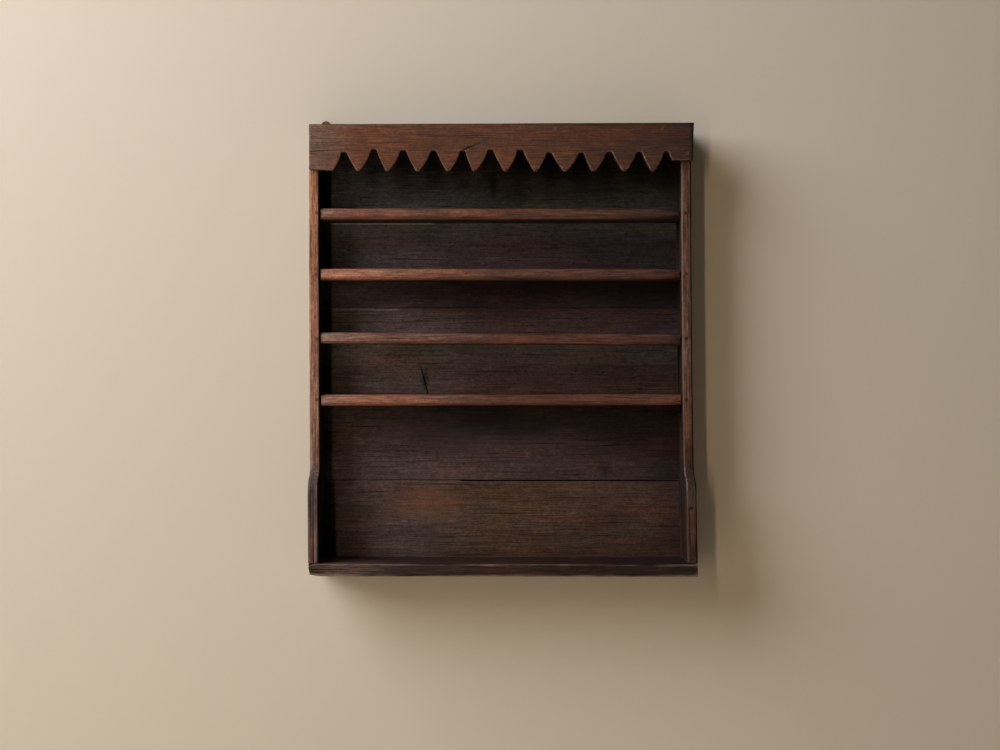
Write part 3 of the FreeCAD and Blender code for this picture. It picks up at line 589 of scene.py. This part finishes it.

# Shelves: four pine boards let into the sides, with front edges rounded by plane and by use. Their waxed
# fronts are orange brown, rubbed bare along the arrises where hands reach, and grey with dust at the left
# end; their tones are lighter towards the left, partly painted light falling from the left.
SHELF_NOSING = 9 * MM
SHELF_UNDERSIDE = 8 * MM
SHELF_HOUSED = 4 * MM
SHELF_END_GAP = 6 * MM
SHELF_FRONT = 14 * MM
SHELF_THINS_FROM = 295 * MM
SHELF_END = 343
# Tones from each shelf's left end to its right; the lighter left is partly painted light from the left
SHELF_TONES = (("#7c4f3c", "#5e3a24", "#31211e"),
               ("#a67057", "#5a3c30", "#4f2c22"),
               ("#816157", "#603625", "#422820"),
               ("#9f6d56", "#4c2f1f", "#6d412e"))
SHELF_DROPS = ((-1, -1), (0.2, 0.4), (1.7, -1.5), (-1, 0.2))
SHELF_TAPERS = (0.6, 0.5, 0.2, 0.2)
for number, (tones, drops, taper) in enumerate(zip(SHELF_TONES, SHELF_DROPS, SHELF_TAPERS), start=1):
    node_name = f"shelf_{number}"
    low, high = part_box(node_name)
    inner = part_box("right_side")[0].x + SHELF_HOUSED
    low.x, high.x = -inner, inner
    board = sawn_board(low, high)
    worn_from = arris_points(board)
    long_arrises(board, low, high, SHELF_NOSING, SHELF_UNDERSIDE, rear=1 * MM)
    cut_across(board, 1, [low.y + 10 * MM, low.y + 18 * MM, low.y + 45 * MM, high.y - 15 * MM])
    cut_across(board, 2, even_places(low.z, high.z, 4 * MM))
    cut_across(board, 0, even_places(low.x, high.x, 5 * MM))
    weather(board, worn_from, seed=10 + number, rub=1.4 * MM)
    # The shelves are darker behind their front edge
    darker_from = low.y + 8 * MM
    mark(board, "soot_and_painted_shade", lambda co, normal: 0.85 * ramp(co.y, darker_from, darker_from + 12 * MM))
    mark(board, "dry_and_painted_light", lambda co, normal: 0.55 * ramp(co.x, -280 * MM, -340 * MM))
    middle = (low.z + high.z) / 2
    for vert in board.verts:
        if vert.co.y < low.y + SHELF_FRONT:
            vert.co.x = min(max(vert.co.x, low.x + SHELF_END_GAP), high.x - SHELF_END_GAP)
            thinned = taper * ramp(vert.co.x, SHELF_THINS_FROM, SHELF_END * MM) ** 1.5
            vert.co.z += (middle - vert.co.z) * thinned
    knock_off(board, (-SHELF_END, low.y / MM, middle / MM), (0.2, 1, 0), reach=9, bite=3)
    knock_off(board, (SHELF_END, low.y / MM, middle / MM), (-0.2, 1, 0), reach=9, bite=3)
    tilt(board, low, high, *drops)
    pine = old_pine(f"waxed_pine_shelf_{number}", tones, "#8a5a43", "#1a1310", grain=0, seed=10 + number,
                    grey="#7d6254")
    add_piece(board, f"worn_{node_name}", pine, "shelf_pine", node_name)

# Frieze: a board across the top of the front whose lower edge is a row of teeth cut by eye with a saw
# and a knife. Its face is stained darker than the shelves, with a knot and a split at its weathered end.
FRIEZE_ARRIS = 1.8 * MM
TOOTH_POINTS = 1.5 * MM
TIP_SWELL = 1.2 * MM
# The frieze's tones darken from left to right, partly painted light falling from the left
frieze_pine = old_pine("stained_pine_frieze", ("#61361c", "#55341e", "#3e2417"), "#806a5c", "#150c08",
                       grain=0, seed=21, knots=((-33, 394, 5, 4.5),), grey="#5f5047", figure=0.32,
                       stains=((-58, 382, 22, 4, "#1b110d", 1.5), (-33, 392, 14, 9, "#4a3a33", 0.9)))
low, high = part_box("frieze")
front, frieze_rear = low.y, high.y
above_teeth = high.z - 40 * MM
board = face_outline("frieze", 1, front)
for edge in board.edges[:]:
    cuts = math.ceil(edge.calc_length() / TOOTH_POINTS) - 1
    if cuts and max(v.co.z for v in edge.verts) < above_teeth:
        bmesh.ops.subdivide_edges(board, edges=[edge], cuts=cuts)
roots = [v for v in board.verts if low.z + 25 * MM < v.co.z < above_teeth and abs(v.co.x) < 335 * MM]
for _ in range(14):
    bmesh.ops.smooth_vert(board, verts=roots, factor=0.5, use_axis_x=True, use_axis_z=True)
thicken(board, 1, frieze_rear - front)
worn_from = arris_points(board)
round_arrises(board, FRIEZE_ARRIS, 3, lambda a, b: max(abs(a.y - front), abs(b.y - front)) < SAME_PLACE)
face = [f for f in board.faces if f.normal.y < -0.99]
bmesh.ops.inset_region(board, faces=face, thickness=2 * MM, use_boundary=True, use_even_offset=True)
cut_across(board, 1, even_places(low.y, high.y, 6 * MM))
cut_across(board, 2, even_places(low.z, high.z, 7 * MM))
cut_across(board, 0, even_places(low.x, high.x, 6 * MM))
weather(board, worn_from, seed=21, rub=0.6 * MM, chip=1.6 * MM, reach=4.5 * MM)
open_split(board, (-366, front / MM, 374), (-314, front / MM, 377), TO_BACK, width=0.6, depth=4)
open_split(board, (-68, front / MM, 379), (-37, front / MM, 391), TO_BACK, width=1.2, depth=6)

# The tips of the teeth keep their breadth; the board hangs askew, and its right end is sawn aslant
board.normal_update()
for vert in board.verts:
    near_tip = ramp(vert.co.z, low.z + 11 * MM, low.z + 3 * MM)
    vert.co.x += vert.normal.x * TIP_SWELL * near_tip
    vert.co.z = max(vert.co.z + vert.normal.z * TIP_SWELL * near_tip, low.z)
    to_right = ramp(vert.co.x, low.x, high.x)
    short_end = 2.4 * ramp(vert.co.x, 335 * MM, high.x) * ramp(vert.co.z, high.z, low.z + 20 * MM)
    vert.co.x += (2.4 + 1.0 * to_right - short_end) * MM
    vert.co.z += (-0.8 + 2.9 * to_right) * MM * ramp(vert.co.z, low.z, high.z)


def frieze_soot_and_painted_shade(co, normal):
    """Soot and painted shade on the frieze: soot on its back, painted shade round its right end and along
    its top, most of it to the right.
    """
    behind = 0.8 * ramp(co.y, frieze_rear - 8 * MM, frieze_rear)
    # Painted shade: the right end, turned away from the light, is darkened
    at_end = 0.9 * ramp(co.x, 361 * MM, 363.5 * MM) * (1 - 0.5 * ramp(normal.x, 0.9, 0.99))
    # Painted shade along the top, which keeps its arris from catching the light
    top_shade = (0.5 + 0.2 * ramp(co.x, -150 * MM, 50 * MM)) * ramp(co.z, 424 * MM, 426.5 * MM)
    return max(behind, at_end, top_shade)


mark(board, "soot_and_painted_shade", frieze_soot_and_painted_shade)
mark(board, "dry_and_painted_light", lambda co, normal: 0.6 * ramp(co.x, -270 * MM, -350 * MM))
add_piece(board, "worn_frieze", frieze_pine, "frieze_pine", "frieze")

# Back boards: five rough boards laid across the back edges and nailed on. They have shrunk, so that some
# seams gape. Their tones are almost black, partly from smoke and dust and partly as painted shade of the
# deep interior, and lighter at their left ends, partly painted light falling from the left; the ones low
# down are browner.
BACK_TONES = (("#626167", "#413d36", "#393b34"),
              ("#524b4d", "#433435", "#282725"),
              ("#635753", "#4b3835", "#403433"),
              ("#584b49", "#473a39", "#302623"),
              ("#615353", "#523f30", "#46332e"))
BACK_STAINS = (((-16, 322, 9, 26, "#0d0908", 1.3), (30, 300, 30, 18, "#0d0908", 0.7)),
               (),
               ((-150, -58, 8, 26, "#100b09", 1.4),),
               ((203, -235, 13, 17, "#140e0b", 1.0), (-60, -150, 200, 60, "#4d464a", 0.8)),
               ((-145, -302, 85, 34, "#7a4a2c", 0.8), (-190, -335, 5, 2, "#8f857b", 1.6)))


def back_soot_and_painted_shade(co, normal):
    """Soot and painted shade on the back boards: painted shadow under the frieze and in the corners, partly
    soot and partly painted shadow under the second and fourth shelf, a darker foot, and painted shade on
    the board edges in the seams.
    """
    from_left = ramp(co.x, -260 * MM, -60 * MM)
    second_end = (75 - 35 * from_left) * MM
    middle = from_left * (1 - 0.5 * ramp(co.x, 60 * MM, 250 * MM))
    # Under the second and fourth shelf: partly soot, partly the shelves' painted shadow
    under_second = ramp(co.z, second_end, 105 * MM) * ramp(co.z, 145 * MM, 135 * MM) * (0.2 + 0.4 * middle)
    under_fourth = ramp(co.z, -225 * MM, -140 * MM) * ramp(co.z, -85 * MM, -95 * MM) * (0.3 + 0.45 * middle)
    # Painted shadow of the frieze and its teeth across the top of the back
    frieze_shadow = ramp(co.z, 280 * MM, 360 * MM) * (0.55 + 0.25 * from_left)
    at_foot = 0.4 * ramp(co.z, -335 * MM, -405 * MM) * from_left
    # Painted shade in the corners: the left side's shadow, and darkening low down beside the right side
    corner_shade = max(0.85 * ramp(co.x, -326 * MM, -337 * MM), 0.4 * ramp(co.x, -270 * MM, -325 * MM),
                    0.4 * ramp(co.x, 280 * MM, 335 * MM) * ramp(co.z, -100 * MM, -200 * MM))
    # Painted shade on the top and bottom edges of the boards, darkening the seams
    on_edges = 0.95 * ramp(abs(normal.z), 0.25, 0.6)
    on_face = max(under_second, under_fourth, frieze_shadow, at_foot, corner_shade)
    return max(on_face * ramp(-normal.y, 0.2, 0.7), on_edges)


def back_paler(co, normal):
    """Paler, greyer wood just under the first and the third shelf."""
    under_first = ramp(co.z, 215 * MM, 240 * MM) * ramp(co.z, 252 * MM, 249 * MM)
    under_third = ramp(co.z, -35 * MM, 0.0) * ramp(co.z, 20 * MM, 12 * MM)
    return 0.25 * max(under_first, under_third) * ramp(-normal.y, 0.2, 0.7)


def along_seam(x, start, end):
    """Whether a place along a seam lies between two ends, from 0 to 1, fading out past them."""
    return ramp(x, (start - 6) * MM, start * MM) * ramp(x, (end + 6) * MM, end * MM)


# The seams above the boards are shut but for the stretches listed for each board: their two ends, what
# they gape beyond the usual gap, and how strongly a pale line of painted light is laid along them. The
# lowest one gapes in front only and stays dark.
SEAM_GAP = 1.4
SEAMS = ((),
         ((-330, -135, 0.0, 1.0), (145, 340, 0.0, 0.15)),
         ((-330, -200, -1.5, 0.3),),
         ((-330, 340, 0.0, 0.0),),
         ((-330, 200, -1.4, 0.05),))
LOWEST_SEAM_GAPE = 2.2
SEAM_DEPTH = 2.5 * MM


def seam_light_line(stretches, top):
    """A pale line of painted light along the upper front arris of a back board, standing in for the light
    seen at the seam, which soot leaves free.
    """
    def amount(co):
        along = max((pale_line * along_seam(co.x, start, end) for start, end, gape, pale_line in stretches),
                    default=0.0)
        return along * ramp(co.y, -9 * MM, -12 * MM) * ramp(co.z, top - 4 * MM, top - SEAM_DEPTH)
    return amount


for number, (tones, stains, stretches) in enumerate(zip(BACK_TONES, BACK_STAINS, SEAMS), start=1):
    node_name = f"back_board_{number}"
    low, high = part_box(node_name)
    board = sawn_board(low, high)
    worn_from = arris_points(board)
    long_arrises(board, low, high, upper_front=0.5 * MM, lower_front=0.5 * MM, rear=1 * MM)
    cut_across(board, 1, [(low.y + high.y) / 2])
    cut_across(board, 2, [low.z + 4 * MM, high.z - 4 * MM, high.z - SEAM_DEPTH])
    cut_across(board, 2, even_places(low.z, high.z, 14 * MM))
    cut_across(board, 0, even_places(low.x, high.x, 10 * MM))
    weather(board, worn_from, seed=30 + number, rub=0.3 * MM, chip=1.2 * MM, reach=4 * MM)
    for vert in board.verts:
        if vert.co.z > high.z - 1.5 * MM and number > 1:
            vert.co.z += SEAM_GAP * MM
            for start, end, gape, pale_line in stretches:
                vert.co.z -= (SEAM_GAP + gape) * MM * along_seam(vert.co.x, start, end)
            if number == 5:
                in_front = ramp(vert.co.y, -7 * MM, -13 * MM)
                vert.co.z -= LOWEST_SEAM_GAPE * MM * in_front * along_seam(vert.co.x, -80, 340)
    if number == 3:
        open_split(board, (-143, -14, -85), (-158, -14, -26), TO_BACK, width=1.5, depth=5)
    pale_seam = seam_light_line(stretches, high.z)
    mark(board, "soot_and_painted_shade", lambda co, normal: back_soot_and_painted_shade(co, normal) * (1 - pale_seam(co)))
    # Paler wood under the first and third shelf, and the pale seam line of painted light
    mark(board, "dry_and_painted_light", lambda co, normal: max(back_paler(co, normal), pale_seam(co)))
    # The near-white grey paints the seam line of light and the paler wood under the shelves
    pine = old_pine(f"smoked_pine_back_{number}", tones, "#3d322c", "#0a0807", grain=0, seed=30 + number,
                    stains=stains, rough=(0.6, 0.85), shine=0.1, figure=0.22, grey="#9ca1a4", sawn=True)
    add_piece(board, f"worn_{node_name}", pine, "back_pine", node_name)

# Nails and hanging plates: forged by a smith. The plates are brown with rust; the nails in the frieze and
# the left side are waxed over with the wood, the others are bare and dark.
RUST_PATCH = 6 * MM
HAMMER_MARK = 3 * MM


def forged_iron(name, scale_colour, rust_colour):
    """Wrought iron with hammer marks: dark scale with dull rust in patches on it."""
    material = bpy.data.materials.new(name)
    material.use_nodes = True
    tree = material.node_tree
    tree.nodes.clear()
    place = add_node(tree, "ShaderNodeTexCoord").outputs["Object"]
    rust = add_node(tree, "ShaderNodeTexNoise",
                    {"Vector": place, "Scale": 1 / RUST_PATCH, "Detail": 4.0}).outputs["Fac"]
    rust = add_node(tree, "ShaderNodeMapRange",
                    {"Value": rust, "From Min": 0.42, "From Max": 0.62}).outputs[0]
    colour = add_node(tree, "ShaderNodeMix", {0: rust, 6: linear(scale_colour), 7: linear(rust_colour)},
                      data_type="RGBA").outputs[2]
    hammer = add_node(tree, "ShaderNodeTexNoise",
                      {"Vector": place, "Scale": 1 / HAMMER_MARK, "Detail": 2.0}).outputs["Fac"]
    bump = add_node(tree, "ShaderNodeBump", {"Height": hammer, "Strength": 0.5, "Distance": 0.4 * MM})
    metal = add_node(tree, "ShaderNodeMapRange", {"Value": rust, "To Min": 0.8, "To Max": 0.1}).outputs[0]
    gloss = add_node(tree, "ShaderNodeMapRange", {"Value": rust, "To Min": 0.45, "To Max": 0.85}).outputs[0]
    surface = add_node(tree, "ShaderNodeBsdfPrincipled",
                       {"Base Color": colour, "Metallic": metal, "Roughness": gloss,
                        "Normal": bump.outputs[0]})
    add_node(tree, "ShaderNodeOutputMaterial", {"Surface": surface.outputs[0]})
    return material


bare_iron = forged_iron("forged_iron", "#2f2a27", "#5a3523")
rusty_iron = forged_iron("rusty_iron_plate", "#57453a", "#664a38")
waxed_iron = forged_iron("waxed_iron_nail", "#634635", "#543a2c")
IRON_FINISHES = ((rusty_iron, ("hanger_left", "hanger_right")),
                 (waxed_iron, ("frieze_nails", "shelf_pins_left")),
                 (bare_iron, ("back_nails", "hanger_nails", "shelf_pins_right", "top_nails", "bottom_nails")))
for finish, node_names in IRON_FINISHES:
    for node_name in node_names:
        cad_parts[node_name].data.materials.clear()
        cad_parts[node_name].data.materials.append(finish)

# Room: a plain pale wall behind the shelf and a plain pale floor below it. From behind, the wall lets
# the eye and the lamps through, so that the back of the shelf can be seen.
WALL_GAP = 2 * MM
FLOOR_LEVEL = -1250 * MM
ROOM_REACH = 6000 * MM
plaster = bpy.data.materials.new("pale_plaster")
plaster.use_nodes = True
tree = plaster.node_tree
tree.nodes.clear()
behind = add_node(tree, "ShaderNodeNewGeometry").outputs["Backfacing"]
shade = add_node(tree, "ShaderNodeLightPath").outputs["Is Shadow Ray"]
clear = add_node(tree, "ShaderNodeMath", {0: behind, 1: shade}, operation="MAXIMUM").outputs[0]
coat = add_node(tree, "ShaderNodeBsdfPrincipled", {"Base Color": linear("#cfc3af"), "Roughness": 0.9})
gap = add_node(tree, "ShaderNodeBsdfTransparent")
mixed = add_node(tree, "ShaderNodeMixShader", {0: clear, 1: coat.outputs[0], 2: gap.outputs[0]})
add_node(tree, "ShaderNodeOutputMaterial", {"Surface": mixed.outputs[0]})
for name, middle, turn in (("wall", (0, WALL_GAP, 0), 90), ("floor", (0, 0, FLOOR_LEVEL), 0)):
    bm = bmesh.new()
    bmesh.ops.create_grid(bm, x_segments=1, y_segments=1, size=ROOM_REACH)
    bmesh.ops.rotate(bm, matrix=Matrix.Rotation(math.radians(turn), 3, "X"), verts=bm.verts)
    bmesh.ops.translate(bm, vec=middle, verts=bm.verts)
    mesh = bpy.data.meshes.new(name)
    bm.to_mesh(mesh)
    bm.free()
    mesh.materials.append(plaster)
    surface = bpy.data.objects.new(name, mesh)
    bpy.context.scene.collection.objects.link(surface)

# Light: a wide soft window high on the left, a tall warm strip near the camera, and a fill from behind.
# The world adds a trace of warm light from all round.
for name, spot, width, height, watts, tint in (("window", (-2800, -1900, 1900), 2800, 2800, 185, "#f2f6ff"),
                                               ("strip", (-900, -3550, 300), 140, 2400, 23, "#ffe6c8"),
                                               ("back_fill", (700, 2600, 900), 1500, 1500, 40, "#fff3e4")):
    lamp = bpy.data.lights.new(name, "AREA")
    lamp.shape = "RECTANGLE"
    lamp.size = width * MM
    lamp.size_y = height * MM
    lamp.energy = watts
    lamp.color = linear(tint)[:3]
    holder = bpy.data.objects.new(name, lamp)
    holder.location = Vector(spot) * MM
    holder.rotation_euler = (-holder.location).to_track_quat("-Z", "Y").to_euler()
    bpy.context.scene.collection.objects.link(holder)
world = bpy.data.worlds.new("room_light")
world.use_nodes = True
world.node_tree.nodes["Background"].inputs["Color"].default_value = linear("#ffe7cf")
world.node_tree.nodes["Background"].inputs["Strength"].default_value = 0.005
bpy.context.scene.world = world

# Camera: level and square on to the wall, a little below the middle of the shelf and more than three
# metres in front of it.
view = bpy.data.cameras.new("photo_view")
view.sensor_width = 36
view.lens = 61.2
camera = bpy.data.objects.new("photo_view", view)
camera.location = Vector((-2.9, -3344, -49)) * MM
camera.rotation_euler = (math.radians(90), 0, 0)
bpy.context.scene.collection.objects.link(camera)
bpy.context.scene.camera = camera
bpy.context.scene.view_settings.view_transform = "Standard"
